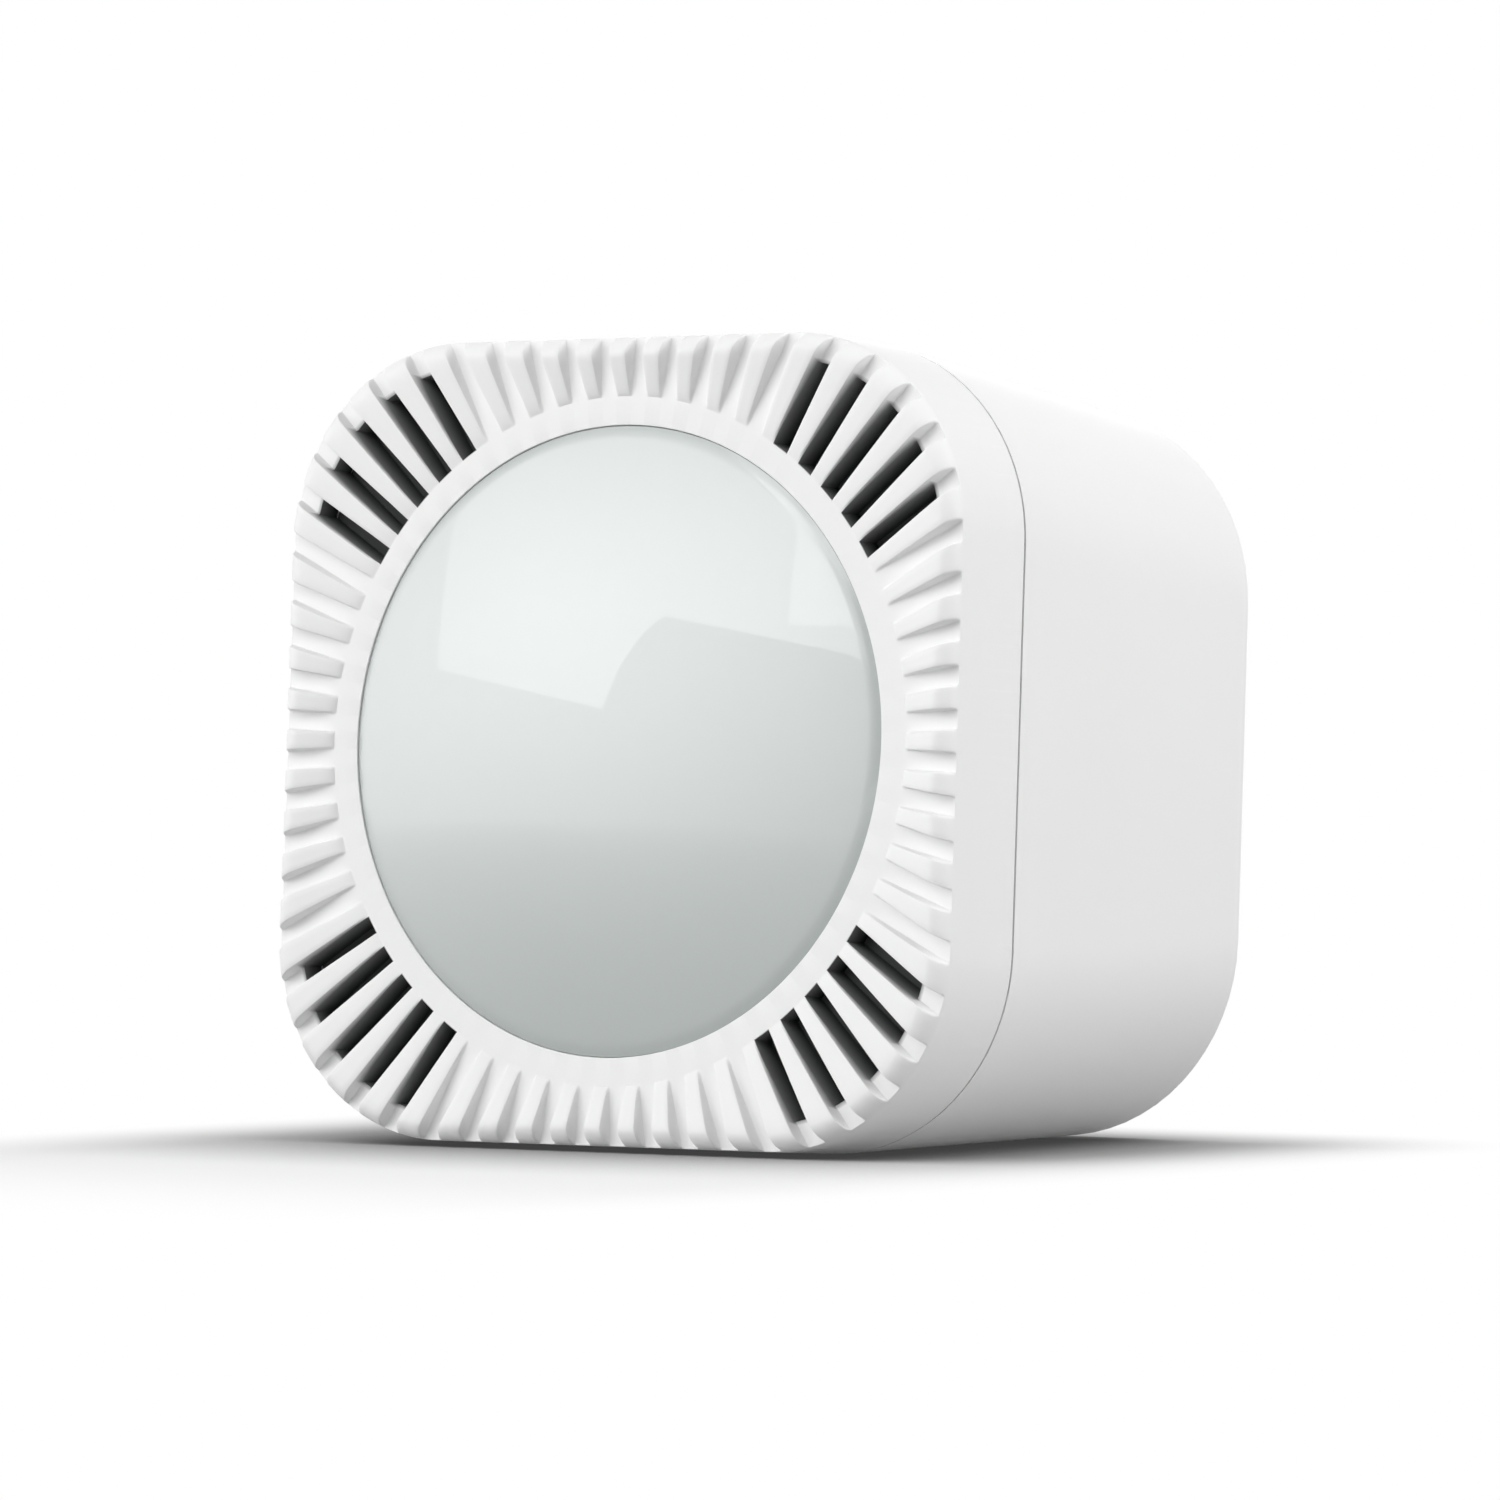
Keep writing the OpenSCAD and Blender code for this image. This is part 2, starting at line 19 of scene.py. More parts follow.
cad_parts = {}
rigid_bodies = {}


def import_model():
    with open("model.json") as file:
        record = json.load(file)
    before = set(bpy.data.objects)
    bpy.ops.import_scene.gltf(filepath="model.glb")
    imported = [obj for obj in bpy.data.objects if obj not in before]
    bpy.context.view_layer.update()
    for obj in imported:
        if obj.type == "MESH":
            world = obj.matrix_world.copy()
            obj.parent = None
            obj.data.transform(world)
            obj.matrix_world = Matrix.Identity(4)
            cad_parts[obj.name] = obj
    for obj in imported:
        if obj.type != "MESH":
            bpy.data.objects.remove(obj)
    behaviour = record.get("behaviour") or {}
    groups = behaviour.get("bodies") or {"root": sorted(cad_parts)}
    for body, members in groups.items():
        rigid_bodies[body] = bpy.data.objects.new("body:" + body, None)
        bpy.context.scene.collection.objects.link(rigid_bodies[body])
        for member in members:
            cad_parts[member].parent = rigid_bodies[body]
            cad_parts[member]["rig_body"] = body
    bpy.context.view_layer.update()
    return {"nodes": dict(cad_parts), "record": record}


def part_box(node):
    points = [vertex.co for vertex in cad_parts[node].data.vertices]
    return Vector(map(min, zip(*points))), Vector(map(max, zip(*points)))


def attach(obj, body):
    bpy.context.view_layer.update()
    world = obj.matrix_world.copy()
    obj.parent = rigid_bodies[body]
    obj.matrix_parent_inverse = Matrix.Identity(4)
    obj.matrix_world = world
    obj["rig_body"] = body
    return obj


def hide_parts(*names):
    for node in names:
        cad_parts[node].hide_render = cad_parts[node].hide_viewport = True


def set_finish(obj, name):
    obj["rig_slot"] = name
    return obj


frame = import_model()

# %% [markdown]
# ## The drawing frame
#
# Every piece is drawn as if the sensor lay on its back: x to the right, y up, z out of the
# wall. `stand` then turns the points upright, so that the lens looks along -Y. The overall
# sizes are read from the CAD boxes, so the shells always fit the construction.

# %% Overall sizes
MM = 0.001
shell_low, shell_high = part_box("rear_shell")
bezel_low, bezel_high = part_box("front_bezel")
lens_low, lens_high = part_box("fresnel_lens")

BODY_HALF = bezel_high.x
MIDDLE_HEIGHT = (bezel_low.z + bezel_high.z) / 2
WALL_Y = shell_high.y
RIB_TOP = WALL_Y - bezel_low.y
LENS_TOP = WALL_Y - lens_low.y
SEAM_GAP = 0.15 * MM
SEAM = WALL_Y - shell_low.y + SEAM_GAP
print(f"half width {BODY_HALF / MM:.2f} mm, seam {SEAM / MM:.2f} mm from the wall")


def stand(x, y, z):
    """Points of the drawing frame, turned upright: z runs out of the wall along -Y."""
    return np.stack([x, WALL_Y - z, y + MIDDLE_HEIGHT], axis=-1)


# %% [markdown]
# ## Grids into meshes
#
# A surface with two parameters is a grid of points. Neighbours in the grid are joined by
# four-sided faces, and a grid may close on itself one way or both ways. A piece that is a
# profile carried round a path is then one closed skin.


# %% Grid helpers
def grid_quads(rows, columns, close_rows=False, close_columns=True):
    """Index quads of a grid of rows x columns points: each face joins (r, c), (r, c+1),
    (r+1, c+1) and (r+1, c), with the last row or column joined to the first if it closes."""
    r = np.arange(rows if close_rows else rows - 1)
    c = np.arange(columns if close_columns else columns - 1)
    r, c = np.meshgrid(r, c, indexing="ij")
    r_next = (r + 1) % rows
    c_next = (c + 1) % columns
    quads = np.stack(
        [
            r * columns + c,
            r * columns + c_next,
            r_next * columns + c_next,
            r_next * columns + c,
        ],
        axis=-1,
    )
    return quads


def outward(mesh):
    """Welds doubles and turns all faces of a closed skin outwards."""
    soft = bmesh.new()
    soft.from_mesh(mesh)
    bmesh.ops.remove_doubles(soft, verts=soft.verts, dist=1e-7)
    bmesh.ops.dissolve_degenerate(soft, edges=soft.edges, dist=1e-8)
    bmesh.ops.recalc_face_normals(soft, faces=soft.faces)
    soft.to_mesh(mesh)
    soft.free()


def piece(name, points, faces, body, slot, stands_for=(), sharp=32, marks=None):
    """Makes a mesh object of the points and faces, smooth but for edges sharper than `sharp`
    degrees, and lets it ride on a body and stand for CAD nodes. Marks are numbers per point
    that a material can read by name."""
    mesh = bpy.data.meshes.new(name)
    mesh.from_pydata(points.reshape(-1, 3).tolist(), [], faces)
    for label, values in (marks or {}).items():
        layer = mesh.attributes.new(label, "FLOAT", "POINT")
        layer.data.foreach_set("value", values.ravel())
    outward(mesh)
    mesh.shade_smooth()
    mesh.set_sharp_from_angle(angle=math.radians(sharp))
    obj = bpy.data.objects.new(name, mesh)
    bpy.context.scene.collection.objects.link(obj)
    weighted = obj.modifiers.new("weighted", "WEIGHTED_NORMAL")
    weighted.keep_sharp = True
    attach(obj, body)
    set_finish(obj, slot)
    if stands_for:
        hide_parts(*stands_for)
    mesh.calc_loop_triangles()
    print(f"{name}: {len(mesh.vertices)} points, {len(mesh.loop_triangles)} triangles")
    return obj


# %% [markdown]
# ## The rounded square
#
# The housing's outline is a square with quarter-circle corners. As a distance from the middle
# for every direction it is one formula, so one grid can run from the round lens out to the
# square side without a break.


# %% The outline as a reach
def outline_reach(angle, half, corner):
    """Distance from the middle to a rounded square, along a direction. On the flat side it
    is half / cos of the angle off the side's middle; on the corner it is the far crossing of
    the ray with the corner's circle."""
    off = np.abs((angle + np.pi / 4) % (np.pi / 2) - np.pi / 4)
    centre = (half - corner) * math.sqrt(2)
    lean = np.pi / 4 - off
    flat = half / np.cos(off)
    inside = np.maximum(corner**2 - (centre * np.sin(lean)) ** 2, 0)
    arc = centre * np.cos(lean) + np.sqrt(inside)
    return np.where(np.tan(off) * half <= half - corner, flat, arc)


# %% [markdown]
# ## The front frame
#
# On the real sensor the front frame is one moulding: a flat ring round the lens, ribs that
# rise from the ring to a crest near the side, a rolled edge, and a short lip that plugs into
# the rear shell. It could be cut from a block with sixty boolean slots, but then every edge
# would be razor sharp. Here one profile is carried round the face instead. Each rib pitch has
# sixteen columns of points: valley floor, small fillet, flank, rounded edge and rib top. The
# rows step along the profile, and the difference between rib and valley is only a height.

# %% Sizes of the front frame
CORNER = 14.1 * MM
LENS_HOLE = 21.9 * MM
RING_OUT = 23.9 * MM
RIB_HEIGHT = 1.25 * MM
RIB_NOSE = 0.2 * MM
ROLL = 1.6 * MM
FACE = 2.0 * MM
WALL = 2.0 * MM
LIP_CLEAR = 0.3 * MM
LIP_THICK = 1.2 * MM
LIP_DEEP = 2.4 * MM
SLOT = 1.4 * MM
SOFT_EDGE = 0.16 * MM
DRAFT = 0.03 * MM
RIBS = 60
OPEN_IN_CORNER = 5
VENT_END = 0.9
RING_TOP = RIB_TOP - RIB_HEIGHT
FACE_IN = RING_TOP - FACE
FLANGE_OUT = 23.1 * MM
FLANGE_BACK = FACE_IN - 0.85 * MM
CREST = 1.25 * MM
CREST_BLEND = 0.09 * MM
HOLE_ROUND = 0.07 * MM
SEAM_ROUND = 0.15 * MM


# %% Columns of one rib pitch
def rib_columns():
    """For each column: distance from the valley's centre line, share of the way to the
    rib's middle, 1 on the rib and 0 in the valley, and how far the edge's round lifts it.
    One side is written and the other mirrored."""
    w = SLOT / 2
    bend = 1 - math.cos(math.pi / 4)
    side = np.array(
        [
            [w - DRAFT - SOFT_EDGE, 0, 0, 0],
            [w - DRAFT - bend * SOFT_EDGE, 0, 0, bend],
            [w - DRAFT, 0, 0, 1],
            [w, 0, 1, -1],
            [w + bend * SOFT_EDGE, 0, 1, -bend],
            [w + SOFT_EDGE, 0, 1, 0],
            [w + SOFT_EDGE, 0.5, 1, 0],
        ]
    )
    other = side[::-1] * [-1, -1, 1, 1]
    floor = np.array([[0, 0, 0, 0]])
    middle = np.array([[w + SOFT_EDGE, 1, 1, 0]])
    return np.concatenate([other, floor, side, middle])


PITCH = 2 * math.pi / RIBS
pitch_columns = rib_columns()
PER_PITCH = len(pitch_columns)
valley_angle = np.repeat((np.arange(RIBS) + 0.5) * PITCH, PER_PITCH)
offset, share, on_rib, lift = np.tile(pitch_columns, (RIBS, 1)).T
print("columns round the frame:", len(offset))


# %% Rows along the frame's profile
SHAPED = -1.0


def frame_rows():
    """One row: how far from the start circle to the outline, how far inside the side that
    outline lies, the start circle's radius, height on a rib, height in a valley. A rib's
    height of SHAPED is worked out later from where the point lies."""
    quarter = np.linspace(0, math.pi / 2, 4)[1:]
    rows = [[0, CREST, LENS_HOLE, FACE_IN, FACE_IN]]
    z = RING_TOP - HOLE_ROUND
    rows.append([0, CREST, LENS_HOLE, z, z])
    for turn in quarter:
        z = RING_TOP - HOLE_ROUND * (1 - math.sin(turn))
        rows.append([0, CREST, LENS_HOLE + HOLE_ROUND * (1 - math.cos(turn)), z, z])
    rows.append([0, CREST, RING_OUT - 0.08 * MM, RING_TOP, RING_TOP])
    rows.append([0, CREST, RING_OUT, RING_TOP, RING_TOP])
    for s in [0.02, 0.05, 0.1, 0.18, 0.28, 0.4, 0.52, 0.64, 0.74, 0.83, VENT_END, 0.94, 1.0]:
        rows.append([s, CREST, RING_OUT, SHAPED, RING_TOP])
    start = math.asin(1 - CREST / ROLL)
    for turn in np.linspace(start, math.pi / 2, 13)[1:]:
        rows.append([1, ROLL * (1 - math.sin(turn)), RING_OUT, SHAPED, RING_TOP])
    for turn in np.linspace(0, math.pi / 2, 4):
        inset = SEAM_ROUND * (1 - math.cos(turn))
        z = SEAM + SEAM_ROUND * (1 - math.sin(turn))
        rows.append([1, inset, RING_OUT, z, z])
    lip = WALL + LIP_CLEAR
    for inset, z in [
        [lip, SEAM],
        [lip, SEAM - LIP_DEEP],
        [lip + LIP_THICK, SEAM - LIP_DEEP],
        [lip + LIP_THICK, SEAM + LIP_THICK],
        [WALL, SEAM + LIP_THICK],
        [WALL, FACE_IN],
    ]:
        rows.append([1, inset, RING_OUT, z, z])
    return rows


frame_profile = np.array(frame_rows())
field_rows = np.flatnonzero((frame_profile[:, 0] > 0) & (frame_profile[:, 0] <= VENT_END))
first_open = field_rows[0] - 1
last_open = field_rows[-1]
inner = frame_profile[first_open : last_open + 1][::-1].copy()
inner[:, 3:] = FACE_IN
collar = np.array(
    [
        [0, CREST, RING_OUT - 0.05 * MM, FACE_IN, FACE_IN],
        [0, CREST, RING_OUT - 0.05 * MM, FLANGE_BACK - 1.2 * MM, FLANGE_BACK - 1.2 * MM],
        [0, CREST, FLANGE_OUT + 0.1 * MM, FLANGE_BACK - 1.2 * MM, FLANGE_BACK - 1.2 * MM],
        [0, CREST, FLANGE_OUT + 0.1 * MM, FACE_IN, FACE_IN],
    ]
)
inner_start = len(frame_profile)
frame_profile = np.concatenate([frame_profile, inner, collar])
print("rows along the profile:", len(frame_profile))


# %% The rib tops
def rib_height(distance, angle):
    """Height of a rib's top. From the ring it climbs in a straight slope, after a small
    blunt nose; at the side it rolls over on a quarter circle. The lower of the two counts,
    and where they cross they are blended: -blend * log(exp(-slope/blend) + exp(-roll/blend))."""
    outer = outline_reach(angle, BODY_HALF, CORNER)
    climb = (distance - RING_OUT) / (outer - CREST - RING_OUT)
    nose = RIB_NOSE * (1 - np.exp(-np.maximum(climb, 0) / 0.09))
    slope = nose + (RIB_HEIGHT - RIB_NOSE) * climb
    inset = np.clip(outer - distance, 0, ROLL)
    roll = RIB_HEIGHT - ROLL + np.sqrt(np.maximum(ROLL**2 - (ROLL - inset) ** 2, 0))
    least = np.minimum(slope, roll)
    gap = np.abs(slope - roll)
    return RING_TOP + least - CREST_BLEND * np.log1p(np.exp(-gap / CREST_BLEND))


# %% The frame's points
def frame_points(profile):
    """Every row and column at once. A column's direction depends on how far out it is, as
    a valley keeps its width, so direction and distance are worked out in turn, three times:
    direction = valley + arcsin(offset / distance), moved by its share towards the rib's
    middle, and distance = start + share of the way to the outline in that direction."""
    s, inset, start, top, floor = (column[:, None] for column in profile.T)
    side = np.sign(share) + (share == 0) * np.sign(offset)
    part = np.abs(share)
    distance = start + s * (BODY_HALF - start)
    for _ in range(4):
        edge = np.arcsin(np.clip(offset / distance, -1, 1))
        angle = valley_angle + (1 - part) * edge + part * side * PITCH / 2
        reach = outline_reach(angle, BODY_HALF - inset, CORNER - inset)
        distance = (1 - s) * start + s * reach
    shaped = rib_height(distance, angle)
    top = np.where(top == SHAPED, shaped, top)
    floor = np.minimum(floor, top)
    edge_round = np.minimum(SOFT_EDGE, 0.4 * (top - floor))
    z = floor + on_rib * (top - floor) + lift * edge_round
    return stand(distance * np.cos(angle), distance * np.sin(angle), z)


points = frame_points(frame_profile)
quads = grid_quads(len(frame_profile), len(offset), close_rows=True)

# %% [markdown]
# The vents are holes right through the face. In the five middle valleys of each corner the
# floor's faces are left out of the upper skin and of the lower one, and four walls join the
# two rims.


# %% Vents cut through
def open_valleys():
    """Numbers of the valleys that lie nearest to the diagonals."""
    turn = (np.arange(RIBS) + 0.5) * 360 / RIBS
    off = np.abs(turn % 90 - 45)
    return np.flatnonzero(off < OPEN_IN_CORNER / 2 * 360 / RIBS)


FLOOR_LEFT = 4
FLOOR_RIGHT = 10
keep = np.ones(quads.shape[:2], bool)
total_columns = len(offset)
count_open = last_open - first_open
walls = []
for valley in open_valleys():
    left = valley * PER_PITCH + FLOOR_LEFT
    right = valley * PER_PITCH + FLOOR_RIGHT
    keep[first_open:last_open, left:right] = False
    keep[inner_start : inner_start + count_open, left:right] = False
    up = np.arange(first_open, last_open + 1)
    down = inner_start + count_open - (up - first_open)
    across = np.arange(left, right + 1)
    for column in (left, right):
        upper = up * total_columns + column
        lower = down * total_columns + column
        walls.append(np.stack([upper[:-1], upper[1:], lower[1:], lower[:-1]], axis=-1))
    for row, under in ((up[0], down[0]), (up[-1], down[-1])):
        upper = row * total_columns + across
        lower = under * total_columns + across
        walls.append(np.stack([upper[:-1], upper[1:], lower[1:], lower[:-1]], axis=-1))

frame_faces = np.concatenate([quads[keep]] + walls)

# %% [markdown]
# Little light gets down into the vents, so a dark grey-green shade is painted into the colour
# of their walls and of the inside of the face. Each point gets a mark of how deep in a vent it
# lies, which is how much painted shade it gets: 0 outside, 1 on the inside of the face.

# %% How much painted shade each point gets in a vent
# Painted shade at the rim of a vent, on the ring's level; the inside of the face gets the full
# painted shade.
PAINTED_SHADE_AT_RING = 0.45
painted_shade = np.zeros(points.shape[:2])
for valley in open_valleys():
    left = valley * PER_PITCH + FLOOR_LEFT
    right = valley * PER_PITCH + FLOOR_RIGHT
    painted_shade[first_open : last_open + 1, left : right + 1] = PAINTED_SHADE_AT_RING
painted_shade[inner_start:] = 1.0
# The vent mark carries the painted shade to the frame's material.
front_frame = piece(
    "ribbed_front_frame",
    points,
    frame_faces.tolist(),
    "housing",
    "housing_white",
    ["front_bezel"],
    sharp=40,
    marks={"vent_painted_shade": painted_shade},
)

# %% [markdown]
# ## The lens
#
# The lens is a thin milky dome. Its face is part of a large sphere that rolls over into a
# short upright rim, and a hidden flange holds it under the frame. A profile turned about the
# middle gives it all in one skin, with the two poles closed.

# %% Sizes of the lens
LENS_RIM = LENS_HOLE - 0.03 * MM
LENS_RISE = LENS_TOP - RING_TOP
LENS_THICK = 0.9 * MM
LENS_BEVEL = 0.85 * MM
BEVEL_DROP = 0.12 * MM
LENS_ROLL = 0.1 * MM
CROWN = (LENS_RIM**2 + LENS_RISE**2) / (2 * LENS_RISE)
print(f"crown radius {CROWN / MM:.1f} mm")


def turned(profile, columns, x=0.0, y=0.0):
    """A profile of (radius, height) pairs turned about the line through (x, y)."""
    angle = np.arange(columns) * 2 * np.pi / columns
    radius, height = (column[:, None] for column in np.asarray(profile, float).T)
    flat = np.zeros_like(angle)
    return stand(x + radius * np.cos(angle), y + radius * np.sin(angle), height + flat)


def lens_profile():
    """From the outer pole over the crown, which is height = top - crown + sqrt(crown^2 -
    radius^2), less a drop that grows with the square of the way into the bevel. Then over a
    small round, down the rim, round the flange and back along the inside to the inner pole."""
    start = LENS_RIM - LENS_ROLL - LENS_BEVEL
    end = LENS_RIM - LENS_ROLL
    radius = np.concatenate([np.linspace(0, start, 44), np.linspace(start, end, 10)[1:]])
    way = np.clip((radius - start) / LENS_BEVEL, 0, 1)
    height = LENS_TOP - CROWN + np.sqrt(CROWN**2 - radius**2) - BEVEL_DROP * way**2
    outer = np.stack([radius, height], -1)
    slope = (height[-2] - height[-1]) / (radius[-1] - radius[-2])
    turn = np.linspace(math.pi / 2 - math.atan(slope), 0, 6)[1:]
    roll_r = LENS_RIM - LENS_ROLL
    roll_z = height[-1] - LENS_ROLL
    roll = np.stack([roll_r + LENS_ROLL * np.cos(turn), roll_z + LENS_ROLL * np.sin(turn)], -1)
    inside = LENS_RIM - LENS_THICK
    flange = np.array(
        [
            [LENS_RIM, FACE_IN - 0.05 * MM],
            [FLANGE_OUT, FACE_IN - 0.05 * MM],
            [FLANGE_OUT, FLANGE_BACK],
            [inside, FLANGE_BACK],
            [inside, roll_z - 0.9 * MM],
        ]
    )
    small = CROWN - LENS_THICK
    back = np.linspace(math.asin((inside - 0.5 * MM) / small), 0, 40)
    under = np.stack([small * np.sin(back), LENS_TOP - CROWN + small * np.cos(back)], -1)
    return np.concatenate([outer, roll, flange, under])


profile = lens_profile()
LENS_COLUMNS = 224
dome = piece(
    "milky_lens",
    turned(profile, LENS_COLUMNS),
    grid_quads(len(profile), LENS_COLUMNS).reshape(-1, 4).tolist(),
    "housing",
    "lens_milky",
    ["fresnel_lens"],
    sharp=40,
)

# %% [markdown]
# ## CAD nodes that stay
#
# The other nodes already have their right shape. The rear shell and the back plate are copied,
# welded, smoothed and given small rounds on their edges, as a moulding or a stamping has them, and
# each copy stands for its node; the other nodes keep their CAD meshes.


# %% Welded copies of CAD nodes
def welded_copy(node, name, slot, round_edge, sharp=32):
    """A copy of a CAD node's mesh with its loose triangles welded, flat areas joined, and
    its edges rounded by that radius."""
    mesh = frame["nodes"][node].data.copy()
    mesh.name = name
    mesh.materials.clear()
    soft = bmesh.new()
    soft.from_mesh(mesh)
    bmesh.ops.remove_doubles(soft, verts=soft.verts, dist=2e-6)
    bmesh.ops.dissolve_degenerate(soft, edges=soft.edges, dist=1e-7)
    bmesh.ops.dissolve_limit(
        soft, angle_limit=math.radians(0.5), verts=soft.verts, edges=soft.edges
    )
    soft.to_mesh(mesh)
    soft.free()
    mesh.shade_smooth()
    mesh.set_sharp_from_angle(angle=math.radians(sharp))
    obj = bpy.data.objects.new(name, mesh)
    bpy.context.scene.collection.objects.link(obj)
    rounded = obj.modifiers.new("rounded edges", "BEVEL")
    rounded.width = round_edge
    rounded.segments = 3
    rounded.limit_method = "ANGLE"
    rounded.angle_limit = math.radians(40)
    rounded.harden_normals = True
    weighted = obj.modifiers.new("weighted", "WEIGHTED_NORMAL")
    weighted.weight = 100
    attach(obj, frame["nodes"][node]["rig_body"])
    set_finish(obj, slot)
    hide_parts(node)
    print(f"{name}: {len(mesh.polygons)} faces before rounding")
    return obj


rear = welded_copy("rear_shell", "rear_housing", "housing_white", 0.2 * MM)
plate = welded_copy("back_plate", "twist_off_plate", "plate_white", 0.15 * MM)

# %% [markdown]
# ## Materials
#
# Each finish is a small tree of nodes on object coordinates. A moulding has a very fine spark
# texture, so its gloss and its bump vary on a scale of a tenth of a millimetre.


# %% Material helpers
HOUSING_WHITE = (0.87, 0.87, 0.87)


def new_material(name):
    """An empty material and its node tree, with a principled shader and an output."""
    material = bpy.data.materials.new(name)
    material.use_nodes = True
    tree = material.node_tree
    shader = tree.nodes["Principled BSDF"]
    return material, tree, shader


def noise(tree, scale, detail=2.0):
    """A noise texture on object coordinates; scale counts its waves in a metre."""
    place = tree.nodes.new("ShaderNodeTexCoord")
    texture = tree.nodes.new("ShaderNodeTexNoise")
    texture.inputs["Scale"].default_value = scale
    texture.inputs["Detail"].default_value = detail
    tree.links.new(place.outputs["Object"], texture.inputs["Vector"])
    return texture


def spread(tree, texture, low, high):
    """Maps a texture's 0.3 to 0.7 onto the range from low to high."""
    band = tree.nodes.new("ShaderNodeMapRange")
    band.inputs["From Min"].default_value = 0.3
    band.inputs["From Max"].default_value = 0.7
    band.inputs["To Min"].default_value = low
    band.inputs["To Max"].default_value = high
    tree.links.new(texture.outputs["Fac"], band.inputs["Value"])
    return band


def tinted(tree, texture, first, second, socket):
    """A colour that drifts between two shades with a texture."""
    ramp = tree.nodes.new("ShaderNodeValToRGB")
    ramp.color_ramp.elements[0].position = 0.3
    ramp.color_ramp.elements[1].position = 0.7
    ramp.color_ramp.elements[0].color = (*first, 1)
    ramp.color_ramp.elements[1].color = (*second, 1)
    tree.links.new(texture.outputs["Fac"], ramp.inputs["Fac"])
    tree.links.new(ramp.outputs["Color"], socket)


def bump(tree, texture, shader, height):
    """A relief of that height in metres."""
    relief = tree.nodes.new("ShaderNodeBump")
    relief.inputs["Distance"].default_value = height
    relief.inputs["Strength"].default_value = 1.0
    tree.links.new(texture.outputs["Fac"], relief.inputs["Height"])
    tree.links.new(relief.outputs["Normal"], shader.inputs["Normal"])


def moulded_plastic(name, first, second, rough=0.5, relief=2e-6):
    """Matt moulded plastic: two close shades in slow clouds, and a fine spark texture."""
    material, tree, shader = new_material(name)
    tinted(tree, noise(tree, 60.0), first, second, shader.inputs["Base Color"])
    grain = noise(tree, 7000.0, 3.0)
    band = spread(tree, grain, rough - 0.05, rough + 0.05)
    tree.links.new(band.outputs["Result"], shader.inputs["Roughness"])
    bump(tree, grain, shader, relief)
    return material


def drawn_metal(name, first, second, rough=0.3):
    """Plated metal with faint clouds and fine scratches in its gloss."""
    material, tree, shader = new_material(name)
    shader.inputs["Metallic"].default_value = 1.0
    tinted(tree, noise(tree, 300.0), first, second, shader.inputs["Base Color"])
    grain = noise(tree, 9000.0, 4.0)
    band = spread(tree, grain, rough - 0.08, rough + 0.1)
    tree.links.new(band.outputs["Result"], shader.inputs["Roughness"])
    bump(tree, grain, shader, 1e-6)
    return material


# %% White plastic with painted shade in the vents
def plastic_with_painted_vent_shade(name, shade):
    """The housing's white plastic, with shade painted into its colour in the vents: the vent mark
    takes the colour down to a dark shade.
    """
    material, tree, shader = new_material(name)
    mark = tree.nodes.new("ShaderNodeAttribute")
    mark.attribute_name = "vent_painted_shade"
    # Painted shade: the colour runs from the housing's white outside the vents to a dark grey-green
    # deep in them.
    ramp = tree.nodes.new("ShaderNodeValToRGB")
    ramp.color_ramp.elements[0].color = (*HOUSING_WHITE, 1)
    ramp.color_ramp.elements[1].color = (*shade, 1)
    middle = ramp.color_ramp.elements.new(PAINTED_SHADE_AT_RING)
    middle.color = (*[(2 * dark + light) / 3 for dark, light in zip(shade, HOUSING_WHITE)], 1)
    tree.links.new(mark.outputs["Fac"], ramp.inputs["Fac"])
    tree.links.new(ramp.outputs["Color"], shader.inputs["Base Color"])
    grain = noise(tree, 7000.0, 3.0)
    band = spread(tree, grain, 0.45, 0.55)
    tree.links.new(band.outputs["Result"], shader.inputs["Roughness"])
    bump(tree, grain, shader, 2e-6)
    return material


# %% Milky lens
def milky_plastic(name):
    """Thin milky polyethylene: light scatters in it, over it lies a smooth gloss."""
    material, tree, shader = new_material(name)
    clouds = noise(tree, 40.0)
    tinted(tree, clouds, (0.44, 0.48, 0.468), (0.45, 0.49, 0.478), shader.inputs["Base Color"])
    grain = noise(tree, 900.0, 2.0)
    band = spread(tree, grain, 0.35, 0.38)
    tree.links.new(band.outputs["Result"], shader.inputs["Roughness"])
    shader.inputs["Coat Weight"].default_value = 1.0
    shader.inputs["Coat Roughness"].default_value = 0.02
    shader.inputs["Coat IOR"].default_value = 1.5
    shader.inputs["Specular IOR Level"].default_value = 1.0
    return material


